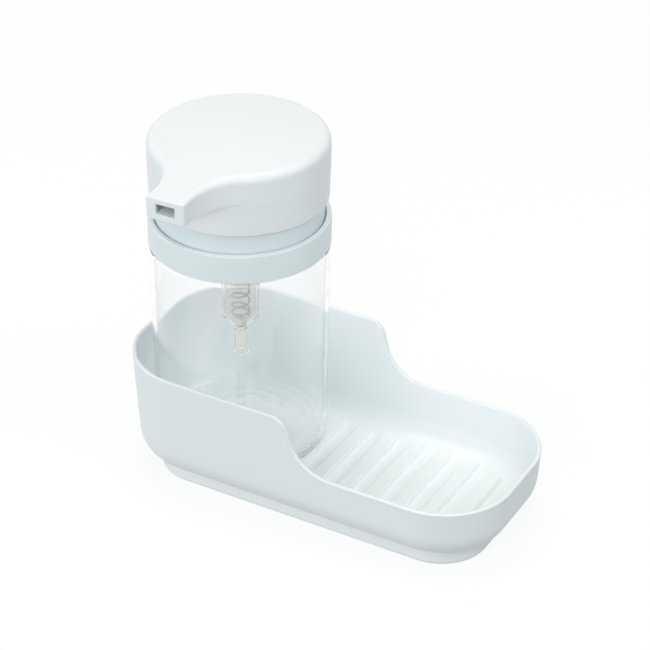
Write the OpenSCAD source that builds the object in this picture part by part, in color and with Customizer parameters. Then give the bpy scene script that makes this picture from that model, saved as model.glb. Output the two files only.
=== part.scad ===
// Soap pump caddy: a moulded tray with a ribbed sponge bay, and a clear soap
// dispenser with a drum-shaped pump head that stands in the tray's high end.
// Z is up, X runs along the tray towards the sponge, and the spout points to -Y.

/* [Tray] */
// Length of the tray at its rim
tray_l = 200; // [190:1:230]
// Radius of the upright corners at the rim
corner_r = 37; // [34:0.5:42]
// Height of the wall round the bottle
wall_high = 64.4; // [54:0.2:90]
// Height of the wall round the sponge
wall_low = 36.4; // [28:0.2:42]
// Thickness of the wall
wall_t = 2; // [1.6:0.1:2.4]
// Lean of the wall, in degrees
wall_lean = 3.4; // [2:0.1:4]
// Radius of the curve under the wall
belly_r = 15.3; // [13:0.1:16]
// Height of the floor of the tray
floor_z = 11; // [10:0.1:12]
// Gap between the bottle's base and the tray's long walls, level with the belly
bottle_side_gap = 3.3; // [1:0.1:8]
// Gap between the bottle's base and the tray's end wall, level with the belly
bottle_end_gap = 0.6; // [0.4:0.1:6]
// Distance from the bottle's side to the start of the step in the rim
step_gap = 2.4; // [0:0.2:16]
// Steepest slope of the step, in degrees
step_slope = 73; // [60:1:78]
// Radius at the top of the step
step_top_r = 8; // [5:0.5:12]
// Radius at the foot of the step
step_foot_r = 22; // [14:0.5:26]

/* [Sponge ribs] */
// Number of ribs
rib_count = 7; // [4:1:8]
// Distance from one rib to the next
rib_pitch = 14.7; // [13:0.1:16]
// Width of a rib
rib_w = 7; // [4:0.2:9]
// Height of a rib, and of the bottle's seat
rib_h = 2.8; // [1.5:0.1:4]
// Gap between the last rib and the end of the flat floor
rib_end_gap = 7.7; // [4:0.1:12]
// Gap between the ribs' ends and the sides of the flat floor
rib_side_gap = 2.4; // [1.5:0.1:4]
// Distance of the raised seat's edge in from the bottle's side
seat_margin = 3.9; // [2:0.1:7]

/* [Foot band] */
// Height of the band under the tray
foot_h = 7; // [5:0.1:8]
// Width of the band
foot_w = 8.5; // [6:0.1:10]
// Distance of the band's outer face in from the rim
foot_inset = 12.5; // [11:0.1:16]
// Width of the key under the tray that the band grips
key_w = 2.4; // [1.6:0.1:3]
// Depth of the key
key_h = 3; // [2:0.1:4]

/* [Bottle] */
// Radius of the bottle under its shoulder
bottle_r = 42.6; // [40:0.1:43]
// Narrowing of the bottle's radius from its shoulder to its heel
bottle_draft = 0.7; // [0.1:0.1:2]
// Height of the bottle from its base to its shoulder
bottle_h = 106.6; // [90:0.2:150]
// Thickness of the bottle's wall
bottle_t = 2; // [1.2:0.1:2.6]
// Thickness of the bottle's base
base_t = 2.8; // [2:0.1:4]
// Radius of the bottle's heel
heel_r = 7; // [4:0.1:10]
// Radius of the bottle's shoulder
shoulder_edge_r = 1.4; // [0.6:0.1:2]
// Height of the neck
neck_h = 9; // [8:0.1:12]
// Height of each step of the punt in the base
punt_step = 1.3; // [0.8:0.1:2]

/* [Screw ring and collar] */
// How far the screw ring stands out past the bottle
ring_proud = 0.4; // [0:0.1:2]
// Thickness of the ring's skirt
ring_t = 1.8; // [1.2:0.1:2]
// Room for the thread between the ring's skirt and the neck
thread_room = 2.2; // [1.2:0.1:3]
// Thickness of the ring's ledge
ledge_t = 2.3; // [1.6:0.1:3]
// Width of the ledge from the ring's side to the collar's raised boss
ledge_w = 3.2; // [2.4:0.1:6]
// Thickness of the boss's wall
boss_t = 2; // [1.4:0.1:2.6]
// Thickness of the collar's deck
deck_t = 1.9; // [1.4:0.1:2.6]
// Thickness of the gasket on the neck
neck_gasket_t = 1.2; // [0.8:0.1:2]

/* [Pump] */
// Outer radius of the pump housing
housing_r = 8.8; // [8:0.1:10]
// Thickness of the housing's wall
housing_t = 1.3; // [1:0.1:1.8]
// Height of the foot of the housing's bore above the bottle's base
housing_foot = 65.2; // [60:0.2:75]
// Width of the housing's flange
flange_w = 3.7; // [2.5:0.1:5]
// Thickness of the housing's flange
flange_t = 1.8; // [1.2:0.1:2.5]
// Thickness of the gasket under the flange
housing_gasket_t = 1; // [0.6:0.1:1.6]
// Thickness of the wall round the inlet valve
socket_t = 0.7; // [0.6:0.1:1.2]
// Length of the socket below the ball's seat
socket_l = 15.5; // [10:0.5:20]
// Outer radius of the dip tube
dip_r = 2.7; // [2.2:0.1:3]
// Thickness of the dip tube's wall
dip_t = 0.8; // [0.5:0.1:1]
// Gap between the dip tube and the bottle's base
dip_gap = 2; // [1:0.5:5]
// Radius of the inlet ball
inlet_ball_r = 2.6; // [2.3:0.1:2.8]
// Radius of the stem
stem_r = 3.5; // [3.2:0.1:3.8]
// Radius of the stem's bore
stem_bore_r = 1.4; // [1.1:0.1:1.6]
// Radius of the outlet ball
outlet_ball_r = 2.1; // [1.8:0.1:2.2]
// Height of the piston seal
piston_h = 6; // [4:0.2:8]
// Height of the guide cap above the flange
guide_h = 10; // [6:0.2:11]
// Depth of the guide cap's plug in the housing
guide_plug_h = 4.5; // [3:0.1:6]
// Wall of the actuator round the stem
actuator_t = 2.5; // [1.6:0.1:3]

/* [Return spring] */
// Diameter of the spring's wire
wire_d = 1; // [0.8:0.1:1.1]
// Radius of the coil to the middle of the wire
coil_r = 4.2; // [4:0.1:4.6]
// Number of curls
coil_turns = 9; // [7:1:10]
// Rise of the first and the last curl
coil_end_pitch = 1.6; // [1.6:0.1:2]

/* [Pump head] */
// Gap between the drum's open end and the collar's boss
drum_gap = 0.5; // [0.3:0.1:1]
// Widening of the drum's radius from its open end to its shoulder
head_draft = 0.5; // [0:0.1:1.5]
// Height of the drum, up to the crown of its top
head_h = 33.65; // [30:0.1:45]
// Gap between the drum and the ring's ledge, which leaves room for the stroke
head_gap = 9.75; // [7:0.1:11]
// Thickness of the drum's wall
head_t = 1.6; // [1.2:0.1:1.6]
// Thickness of the drum's top
head_top_t = 2; // [1.6:0.1:3]
// Radius of the soft shoulder round the top
head_shoulder_r = 5; // [3:0.5:8]
// Reach of the spout from the drum's axis
spout_reach = 66.5; // [62:0.5:75]
// Width of the spout at its tip
spout_w = 19.5; // [18:0.5:24]
// Height of the spout at its tip
spout_h = 10.8; // [10.8:0.1:13]
// Drop of the domed top from its crown to the spout's tip
spout_drop = 6; // [4:0.1:9]
// Radius of the plan curves that blend the spout into the drum
blend_r = 30; // [20:1:40]
// Radius of the spout's edge at its tip
tip_edge_r = 0.8; // [0.4:0.1:1.5]
// Width of the outlet
outlet_w = 9.5; // [6:0.1:11]
// Height of the outlet
outlet_h = 4.8; // [4.2:0.1:5]
// Turn of the spout from square to the tray, in degrees
spout_heading = 2; // [-20:1:20]

/* [Fits] */
// Radial running fit of the piston, the stem and the swivel
run_fit = 0.05; // [0.02:0.01:0.1]
// Gap between pieces that turn or slide past each other
turn_gap = 0.3; // [0.2:0.05:0.4]
// Gap between pieces that are pressed or glued together
seat_gap = 0.1; // [0.05:0.01:0.15]

/* [Hidden] */
$fn = 96;
// Overrun of every cut past the face that it opens
cut = 1;

// The chain of radii that fit round each other, from the bottle to the drum
bottle_base_r = bottle_r - bottle_draft;
seat_r = bottle_base_r - seat_margin;
ring_r = bottle_r + ring_proud;
ring_bore_r = ring_r - ring_t;
neck_r = ring_bore_r - thread_room;
neck_bore_r = neck_r - bottle_t;
boss_r = ring_r - ledge_w;
head_foot_r = boss_r + drum_gap + head_t;
head_r = head_foot_r + head_draft;
punt_r = bottle_base_r - heel_r - bottle_t / 2;
punt_shares = [0.78, 0.56];

// Tray levels and outlines
belly_z = foot_h + belly_r;
lean_tan = tan(wall_lean);
lean_run = (wall_high - belly_z) * lean_tan;
floor_curve_r = belly_z - floor_z;
inner_wall = wall_t / cos(wall_lean);
floor_inset = inner_wall + lean_run
    + floor_curve_r * (cos(wall_lean) + sin(wall_lean) * lean_tan);
tray_w = 2 * (bottle_base_r + bottle_side_gap + inner_wall + lean_run);
bottle_x = bottle_base_r + bottle_end_gap + inner_wall + lean_run - tray_l / 2;
seat_z = floor_z + rib_h;

// Bottle and closure levels
shoulder_z = seat_z + bottle_h;
neck_z = shoulder_z + neck_h;
deck_z = neck_z + neck_gasket_t;
deck_top_z = deck_z + deck_t;
ledge_z = deck_top_z + seat_gap + ledge_t;

// Height of the domed top at a distance from the axis
function dome_z(distance) = head_top_z - spout_drop * pow(distance / spout_reach, 2);

// Pump head levels
head_z = ledge_z + head_gap;
head_top_z = head_z + head_h;
stroke = head_gap - turn_gap;
spout_foot_z = head_top_z - spout_drop - spout_h;
outlet_z = head_top_z - spout_drop - spout_h / 2;
duct_t = (spout_h - outlet_h - 2 * head_t) / 2 - seat_gap;
duct_w = outlet_w + 2 * duct_t;
duct_h = outlet_h + 2 * duct_t;
duct_foot_z = outlet_z - duct_h / 2;
boss_z = duct_foot_z - stroke - 2 * turn_gap;

// Pump levels and radii
housing_bore_r = housing_r - housing_t;
flange_r = housing_r + flange_w;
flange_z = deck_top_z + housing_gasket_t;
flange_top_z = flange_z + flange_t;
guide_z = flange_top_z + guide_h;
stem_seal_t = housing_gasket_t;
stem_seal_z = flange_top_z - guide_plug_h - stem_seal_t;
piston_top_z = stem_seal_z - flange_t;
piston_z = piston_top_z - piston_h;
stem_flange_t = flange_t;
stem_z = piston_z - stem_flange_t;
stem_top_z = outlet_z - outlet_h / 2;
actuator_z = guide_z + stroke + 2 * turn_gap;
actuator_r = stem_r + actuator_t;
hub_r = actuator_r + seat_gap + head_t;
ceiling_z = dome_z(hub_r) - head_top_t;
spring_seat_z = seat_z + housing_foot;
valve_r = inlet_ball_r + 2 * turn_gap;
socket_r = valve_r + socket_t;
dip_bore_r = dip_r - dip_t;
valve_z = spring_seat_z - 2 * inlet_ball_r - turn_gap;
inlet_hole_share = 0.73;
inlet_r = inlet_ball_r * inlet_hole_share;
socket_foot_z = valve_z - socket_l;
dip_top_z = valve_z - wall_t - turn_gap;
punt_top_z = seat_z + base_t + 3 * punt_step;
dip_z = punt_top_z + dip_gap;
outlet_seat_z = stem_top_z - 4 * outlet_ball_r;

// Where the drum's outline leaves the spout's blend curves
blend_x = spout_w / 2 + blend_r;
blend_y = sqrt(pow(head_r + blend_r, 2) - pow(blend_x, 2));
blend_angle = atan2(blend_y, blend_x);

// The frame's origin is at the middle of the whole footprint, spout included
spout_overhang = spout_reach * cos(spout_heading) + spout_w / 2 * abs(sin(spout_heading));
origin_x = (wall_high - wall_low) * lean_tan / 2;
origin_y = (max(spout_overhang, tray_w / 2) - tray_w / 2) / 2;

module in_frame() {
    translate([origin_x, origin_y, 0])
        children();
}

module on_bottle_axis() {
    in_frame()
        translate([bottle_x, 0, 0])
            children();
}

module at_heading() {
    on_bottle_axis()
        rotate(spout_heading)
            children();
}

// A tube or disc between two heights
module sleeve(outer_r, inner_r, low_z, high_z) {
    translate([0, 0, low_z])
        difference() {
            cylinder(r = outer_r, h = high_z - low_z);
            translate([0, 0, -cut])
                cylinder(r = inner_r, h = high_z - low_z + 2 * cut);
        }
}

// The tray's corner radii are centred on a rectangle of this size
core_l = tray_l - 2 * corner_r;
core_w = tray_w - 2 * corner_r;

// Plan of the tray at a distance outward from its corner centres
module core_plan(edge_r) {
    for (side_x = [-1, 1], side_y = [-1, 1])
        translate([side_x * core_l / 2, side_y * core_w / 2])
            circle(edge_r);
    square([core_l + 2 * edge_r, core_w], center = true);
    square([core_l, core_w + 2 * edge_r], center = true);
}

// Whole section across a straight run of the tray
module run_section(width, inset, low_z, curve_r, high_z) {
    for (side = [0, 1])
        mirror([side, 0])
            translate([width / 2, 0])
                wall_section(inset, low_z, curve_r, high_z);
    translate([-width / 2, low_z])
        square([width, high_z - low_z]);
}

// The tray's form between two heights, filled
module tray_form(inset, low_z, curve_r, high_z) {
    for (side_x = [-1, 1], side_y = [-1, 1])
        translate([side_x * core_l / 2, side_y * core_w / 2, 0])
            rotate_extrude()
                wall_section(inset, low_z, curve_r, high_z);
    rotate([90, 0, 90])
        linear_extrude(core_l, center = true)
            run_section(core_w, inset, low_z, curve_r, high_z);
    rotate([90, 0, 0])
        linear_extrude(core_w, center = true)
            run_section(core_l, inset, low_z, curve_r, high_z);
}

// Half of the tray's section: a leaning wall on a round belly
module wall_section(inset, low_z, curve_r, high_z) {
    rim_x = corner_r - inset;
    centre_x = rim_x - lean_run - curve_r * (cos(wall_lean) + sin(wall_lean) * lean_tan);
    lean_x = centre_x + curve_r * cos(wall_lean);
    lean_z = belly_z - curve_r * sin(wall_lean);
    intersection() {
        union() {
            polygon([
                [0, low_z],
                [centre_x, low_z],
                [lean_x, lean_z],
                [rim_x + (high_z - wall_high) * lean_tan, high_z],
                [0, high_z]
            ]);
            translate([centre_x, belly_z])
                circle(curve_r);
        }
        square([corner_r + high_z, high_z]);
    }
}

// What is cut away above the rim, seen from the near side
module rim_cut() {
    fall = wall_high - wall_low;
    rise = (step_top_r + step_foot_r) * (1 - cos(step_slope));
    slope_run = (fall - rise) / tan(step_slope);
    start_x = bottle_x + bottle_r + step_gap;
    top_end = [start_x + step_top_r * sin(step_slope), wall_high - step_top_r * (1 - cos(step_slope))];
    end_x = top_end[0] + slope_run + step_foot_r * sin(step_slope);
    foot_start = [top_end[0] + slope_run, wall_low + step_foot_r * (1 - cos(step_slope))];
    difference() {
        polygon([
            [start_x, wall_high + cut],
            [start_x, wall_high],
            top_end,
            foot_start,
            [end_x, wall_low],
            [tray_l, wall_low],
            [tray_l, wall_high + cut]
        ]);
        translate([start_x, wall_high - step_top_r])
            circle(step_top_r);
    }
    translate([end_x, wall_low + step_foot_r])
        circle(step_foot_r);
}

// Plan of the flat floor, drawn in by a margin
module floor_plan(margin) {
    core_plan(corner_r - floor_inset - margin);
}

module sponge_ribs() {
    last_x = tray_l / 2 - floor_inset - rib_end_gap - rib_w;
    intersection() {
        translate([0, 0, floor_z - wall_t / 2])
            linear_extrude(rib_h + wall_t / 2)
                floor_plan(rib_side_gap);
        for (rib = [0 : rib_count - 1])
            translate([last_x - rib * rib_pitch, -tray_w / 2, floor_z - wall_t / 2])
                cube([rib_w, tray_w, rib_h + wall_t / 2]);
    }
}

// The foot band, or the key that it grips
module foot_ring(width, low_z, high_z) {
    middle = corner_r - foot_inset - foot_w / 2;
    translate([0, 0, low_z])
        linear_extrude(high_z - low_z)
            difference() {
                core_plan(middle + width / 2);
                core_plan(middle - width / 2);
            }
}

module tray() {
    color("#f2f6f8")
        in_frame() {
            difference() {
                tray_form(0, foot_h, belly_r, wall_high);
                tray_form(inner_wall, floor_z, floor_curve_r, wall_high + cut);
                translate([0, 0, foot_h - cut])
                    linear_extrude(floor_z - wall_t - foot_h + cut)
                        core_plan(corner_r - foot_inset - foot_w);
                rotate([90, 0, 0])
                    linear_extrude(tray_w + 2 * cut, center = true)
                        rim_cut();
            }
            sponge_ribs();
            translate([bottle_x, 0, floor_z - wall_t / 2])
                intersection() {
                    cylinder(r = seat_r, h = rib_h + wall_t / 2);
                    translate([-bottle_x, 0, 0])
                        linear_extrude(rib_h + wall_t / 2)
                            floor_plan(rib_side_gap);
                }
            foot_ring(key_w, foot_h - key_h, foot_h + wall_t / 2);
        }
}

module foot_band() {
    color("#e4e9ec")
        in_frame()
            difference() {
                foot_ring(foot_w, 0, foot_h);
                foot_ring(key_w + 2 * seat_gap, foot_h - key_h - seat_gap, foot_h + cut);
            }
}

// Half section of a stepped cone: the punt, seen from below or above
module punt_section(lift) {
    step_1_r = punt_r * punt_shares[0];
    step_2_r = punt_r * punt_shares[1];
    polygon([
        [0, seat_z - cut],
        [punt_r, seat_z - cut],
        [punt_r, seat_z + lift],
        [punt_r - punt_step, seat_z + lift + punt_step],
        [step_1_r, seat_z + lift + punt_step],
        [step_1_r - punt_step, seat_z + lift + 2 * punt_step],
        [step_2_r, seat_z + lift + 2 * punt_step],
        [0, seat_z + lift + 3 * punt_step]
    ]);
}

// Half section of the bottle, filled
module bottle_section(inset, low_z, neck_top_z) {
    foot_r = bottle_base_r - inset;
    body_r = bottle_r - inset;
    curve_r = heel_r - inset / 2;
    edge_r = shoulder_edge_r;
    step_z = shoulder_z - inset;
    polygon([
        [0, low_z],
        [foot_r - curve_r, low_z],
        [foot_r, low_z + curve_r],
        [body_r, step_z - edge_r],
        [body_r - edge_r, step_z],
        [neck_r - inset, step_z],
        [neck_r - inset, neck_top_z],
        [0, neck_top_z]
    ]);
    translate([foot_r - curve_r, low_z + curve_r])
        circle(curve_r);
    translate([body_r - edge_r, step_z - edge_r])
        circle(edge_r);
}

module bottle() {
    color("#eef3f4", 0.35)
        on_bottle_axis()
            rotate_extrude()
                difference() {
                    bottle_section(0, seat_z, neck_z);
                    difference() {
                        bottle_section(bottle_t, seat_z + base_t, neck_z + cut);
                        punt_section(base_t);
                    }
                    punt_section(0);
                }
}

module neck_gasket() {
    color("#cfd4d6")
        on_bottle_axis()
            sleeve(neck_r, neck_bore_r, neck_z, deck_z);
}

module lid_ring() {
    color("#eaf1f5")
        on_bottle_axis() {
            sleeve(ring_r, ring_bore_r, shoulder_z + turn_gap, ledge_z);
            sleeve(ring_bore_r + ring_t / 2, boss_r + turn_gap, ledge_z - ledge_t, ledge_z);
        }
}

module pump_collar() {
    color("#e3eff6")
        on_bottle_axis() {
            sleeve(boss_r, boss_r - boss_t, deck_z, boss_z);
            sleeve(ring_bore_r - turn_gap, housing_r + seat_gap, deck_z, deck_top_z);
        }
}

module housing_gasket() {
    color("#cfd4d6")
        on_bottle_axis()
            sleeve(flange_r, housing_r + seat_gap, deck_top_z, flange_z);
}

module pump_housing() {
    ledge_r = coil_r + wire_d;
    cone_z = spring_seat_z + housing_bore_r - ledge_r;
    cup_z = spring_seat_z + turn_gap;
    color("#e9eceb", 0.5)
        on_bottle_axis()
            rotate_extrude()
                polygon([
                    [inlet_r, dip_top_z + turn_gap],
                    [inlet_r, valve_z],
                    [valve_r, valve_z],
                    [valve_r, spring_seat_z],
                    [ledge_r, spring_seat_z],
                    [housing_bore_r, cone_z],
                    [housing_bore_r, flange_top_z],
                    [flange_r, flange_top_z],
                    [flange_r, flange_z],
                    [housing_r, flange_z],
                    [housing_r, cup_z],
                    [(housing_r + socket_r) / 2, (cup_z + valve_z) / 2 - seat_gap],
                    [socket_r, valve_z],
                    [socket_r, socket_foot_z],
                    [dip_r + seat_gap / 2, socket_foot_z],
                    [dip_r + seat_gap / 2, dip_top_z + turn_gap]
                ]);
}

module housing_nut() {
    color("#e6eaec")
        on_bottle_axis()
            sleeve(flange_r, housing_r + seat_gap / 2, deck_z - 2 * flange_t, deck_z);
}

module guide_cap() {
    cap_r = flange_r + seat_gap + flange_t;
    guide_r = stem_r + flange_t + seat_gap;
    color("#eef1f2")
        on_bottle_axis() {
            sleeve(cap_r, flange_r + seat_gap, flange_z, flange_top_z + flange_t);
            sleeve(flange_r + flange_t, stem_r + run_fit, flange_top_z, flange_top_z + flange_t);
            sleeve(guide_r, stem_r + run_fit, flange_top_z, guide_z);
            sleeve(housing_bore_r - seat_gap, stem_r + run_fit,
                flange_top_z - guide_plug_h, flange_top_z + flange_t / 2);
        }
}

module stem_seal() {
    color("#b9c0c4")
        on_bottle_axis()
            sleeve(housing_bore_r - seat_gap, stem_r + run_fit, stem_seal_z, stem_seal_z + stem_seal_t);
}

module dip_tube() {
    color("#eef1f0", 0.4)
        on_bottle_axis()
            sleeve(dip_r, dip_bore_r, dip_z, dip_top_z);
}

// A ball that rests just clear of the edge of a round hole
module seated_ball(ball_r, hole_r, hole_z) {
    rise = sqrt(pow(ball_r + run_fit, 2) - pow(hole_r, 2));
    translate([0, 0, hole_z + rise])
        sphere(ball_r);
}

module inlet_ball() {
    color("#b8bcc0")
        on_bottle_axis()
            seated_ball(inlet_ball_r, inlet_r, valve_z);
}

// The spring is one tube of six sides, swept along a helix
spring_foot_z = spring_seat_z + wire_d / 2 + run_fit;
spring_top_z = stem_z - wire_d / 2 - run_fit;
curl_rings = 8;
wire_sides = 6;
spring_rings = coil_turns * curl_rings;
main_pitch = (spring_top_z - spring_foot_z - 2 * coil_end_pitch) / (coil_turns - 2);

function coil_height(turn) = turn < 1 ? coil_end_pitch * turn
    : turn < coil_turns - 1 ? coil_end_pitch + main_pitch * (turn - 1)
    : spring_top_z - spring_foot_z - coil_end_pitch * (coil_turns - turn);

function wire_point(ring, side) =
    let (
        turn = ring / curl_rings,
        around = 360 * side / wire_sides,
        out = coil_r + wire_d / 2 * cos(around),
        level = spring_foot_z + coil_height(turn)
    )
    [out * cos(360 * turn), out * sin(360 * turn), level + wire_d / 2 * sin(around)];

function next_side(side) = (side + 1) % wire_sides;

spring_points = [for (ring = [0 : spring_rings], side = [0 : wire_sides - 1]) wire_point(ring, side)];
spring_faces = concat(
    [for (ring = [0 : spring_rings - 1], side = [0 : wire_sides - 1])
        let (low = ring * wire_sides, high = (ring + 1) * wire_sides)
        each [
            [low + side, high + side, high + next_side(side)],
            [low + side, high + next_side(side), low + next_side(side)]
        ]],
    [[for (side = [0 : wire_sides - 1]) side]],
    [[for (side = [wire_sides - 1 : -1 : 0]) spring_rings * wire_sides + side]]
);

// Least gap between a curl and the next one, measured on the points
spring_gap = min([
    for (ring = [0 : spring_rings - curl_rings + 1])
        for (other = [ring + curl_rings - 1 : min(ring + curl_rings + 1, spring_rings)])
            for (side = [0 : wire_sides - 1], other_side = [0 : wire_sides - 1])
                norm(wire_point(ring, side) - wire_point(other, other_side))
]);

module return_spring() {
    echo(spring_gap = spring_gap);
    color("#c3c7ca")
        on_bottle_axis()
            polyhedron(spring_points, spring_faces);
}

module stem() {
    chamber_r = outlet_ball_r + turn_gap;
    color("#f4f6f6")
        on_bottle_axis()
            rotate_extrude()
                polygon([
                    [stem_bore_r, stem_z],
                    [stem_bore_r, outlet_seat_z],
                    [chamber_r, outlet_seat_z],
                    [chamber_r, stem_top_z],
                    [stem_r, stem_top_z],
                    [stem_r, stem_z + stem_flange_t],
                    [coil_r + wire_d, stem_z + stem_flange_t],
                    [coil_r + wire_d, stem_z]
                ]);
}

module piston_seal() {
    lip_t = wall_t / 2;
    seal_r = housing_bore_r - run_fit;
    waist_r = seal_r - lip_t;
    color("#d5dadc")
        on_bottle_axis()
            rotate_extrude()
                polygon([
                    [stem_r + seat_gap / 2, piston_z],
                    [waist_r, piston_z],
                    [seal_r, piston_z + lip_t],
                    [seal_r, piston_z + 2 * lip_t],
                    [waist_r, piston_z + 2 * lip_t],
                    [waist_r, piston_top_z - 2 * lip_t],
                    [seal_r, piston_top_z - 2 * lip_t],
                    [seal_r, piston_top_z - lip_t],
                    [waist_r, piston_top_z],
                    [stem_r + seat_gap / 2, piston_top_z]
                ]);
}

module outlet_ball() {
    color("#b8bcc0")
        on_bottle_axis()
            seated_ball(outlet_ball_r, stem_bore_r, outlet_seat_z);
}

// A block that is centred on the spout's line, from the axis out to a reach
module spout_block(width, height, near, reach) {
    translate([-width / 2, -reach, outlet_z - height / 2])
        cube([width, reach - near, height]);
}

module actuator() {
    color("#eef1f2")
        at_heading()
            difference() {
                union() {
                    translate([0, 0, actuator_z])
                        cylinder(r = actuator_r, h = ceiling_z - actuator_z);
                    spout_block(duct_w, duct_h, 0, spout_reach - head_t - seat_gap);
                }
                translate([0, 0, actuator_z - cut])
                    cylinder(r = stem_r + run_fit, h = outlet_z - actuator_z + cut);
                spout_block(outlet_w, outlet_h, 0, spout_reach);
            }
}

// Half outline of the head in plan, from the tip's corner round to the back.
// Each entry is [x, y, outward x, outward y, distance from the tip's corner].
side_steps = 3;
blend_steps = 12;
drum_steps = 40;
side_run = spout_reach - blend_y;
blend_run = blend_r * blend_angle * PI / 180;
outline = concat(
    [[spout_w / 2, -spout_reach, 1, -1, 0]],
    [for (step = [1 : side_steps])
        [spout_w / 2, -spout_reach + side_run * step / side_steps, 1, 0, side_run * step / side_steps]],
    [for (step = [1 : blend_steps])
        let (around = blend_angle * step / blend_steps)
        [blend_x - blend_r * cos(around), -blend_y + blend_r * sin(around),
            cos(around), -sin(around), side_run + blend_run * step / blend_steps]],
    [for (step = [1 : drum_steps])
        let (around = -blend_angle + (90 + blend_angle) * step / drum_steps)
        [head_r * cos(around), head_r * sin(around), cos(around), sin(around), side_run + blend_run]]
);
outline_count = len(outline);
edge_steps = 8;
dome_steps = 5;
edge_power = 0.7;

// The edge is nearly sharp at the tip and grows into the drum's soft shoulder
function edge_radius(run) =
    tip_edge_r + (head_shoulder_r - tip_edge_r) * pow(run / (side_run + blend_run), edge_power);

// The cap's rings close in on a spine from near the tip to the axis
cap_shares = [0.8, 0.55, 0.3, 0.1];
spine_pull = 0.12;
function cap_y(y, share) = y * (y < 0 ? 1 - (1 - share) * spine_pull : share);

function skin_point(entry, side, level) =
    let (
        radius = edge_radius(entry[4]),
        around = 90 * min(max(level - 1, 0) / edge_steps, 1),
        inset = level < 1 ? 0 : radius * (1 - cos(around)),
        x = entry[0] - entry[2] * inset,
        y = entry[1] - entry[3] * inset,
        rim_z = dome_z(norm([entry[0] - entry[2] * radius, entry[1] - entry[3] * radius])),
        share = level > edge_steps + 1 ? cap_shares[level - edge_steps - 2] : 1,
        cap_point = [x * share, cap_y(y, share)]
    )
    level < 1 ? [side * x, y, spout_foot_z]
        : share == 1 ? [side * x, y, rim_z - radius * (1 - sin(around))]
        : [side * cap_point[0], cap_point[1], dome_z(norm(cap_point))];

// One closed ring of the skin: up one side of the outline and back down the other
function skin_ring(level) = concat(
    [for (entry = outline) skin_point(entry, 1, level)],
    [for (index = [outline_count - 2 : -1 : 0]) skin_point(outline[index], -1, level)]
);
ring_count = 2 * outline_count - 1;
level_count = edge_steps + 2 + len(cap_shares);
skin_points = [for (level = [0 : level_count - 1]) each skin_ring(level)];

function mirror_index(index) = ring_count - 1 - index;

// Faces that close a ring by rungs from one side of the outline to the other
function rungs(base, flip) = [for (index = [0 : outline_count - 2])
    let (
        a = base + index,
        b = base + index + 1,
        c = base + mirror_index(index + 1),
        d = base + mirror_index(index)
    )
    each [
        if (index < outline_count - 2) flip ? [a, c, b] : [a, b, c],
        flip ? [a, d, c] : [a, c, d]
    ]];

skin_faces = concat(
    rungs(0, false),
    rungs((level_count - 1) * ring_count, true),
    [for (level = [0 : level_count - 2], index = [0 : ring_count - 1])
        let (
            a = level * ring_count + index,
            b = level * ring_count + (index + 1) % ring_count
        )
        each [[a, b + ring_count, b], [a, a + ring_count, b + ring_count]]]
);

module head_skin() {
    polyhedron(skin_points, skin_faces);
    translate([0, 0, head_z])
        cylinder(r1 = head_foot_r, r2 = head_r - seat_gap, h = spout_foot_z + head_t - head_z);
}

// The hollow inside the drum, with its own soft shoulder under the domed top
module drum_hollow() {
    hollow_r = head_r - head_top_t;
    curve_r = head_shoulder_r - head_top_t;
    curve_x = hollow_r - curve_r;
    roof_z = dome_z(curve_x) - head_top_t;
    rotate_extrude()
        intersection() {
            union() {
                polygon(concat(
                    [[0, head_z - cut], [head_foot_r - head_t, head_z - cut]],
                    [[head_foot_r - head_t, head_z], [hollow_r, roof_z - curve_r]],
                    [for (step = [0 : dome_steps])
                        let (distance = curve_x + (hub_r - curve_x) * step / dome_steps)
                        [distance, dome_z(distance) - head_top_t]],
                    [[0, ceiling_z]]
                ));
                translate([curve_x, roof_z - curve_r])
                    circle(curve_r);
            }
            translate([0, head_z - cut])
                square([head_r, head_h + cut]);
        }
}

module head_shell() {
    socket_r = actuator_r + seat_gap;
    root_y = blend_y * head_r / (head_r + blend_r);
    color("#f8fafb")
        at_heading() {
            difference() {
                head_skin();
                drum_hollow();
                spout_block(duct_w + 2 * seat_gap, duct_h + 2 * seat_gap, root_y, spout_reach - head_t);
                spout_block(outlet_w, outlet_h, spout_reach - head_t - cut, spout_reach + cut);
            }
            sleeve(hub_r, socket_r, outlet_z + duct_h / 2 + turn_gap, ceiling_z + head_top_t / 2);
        }
}

tray();
foot_band();
bottle();
neck_gasket();
lid_ring();
pump_collar();
housing_gasket();
pump_housing();
housing_nut();
guide_cap();
stem_seal();
dip_tube();
inlet_ball();
return_spring();
stem();
piston_seal();
outlet_ball();
actuator();
head_shell();
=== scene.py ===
import math
import bmesh
import bpy
import numpy as np
from mathutils import Matrix, Vector


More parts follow.
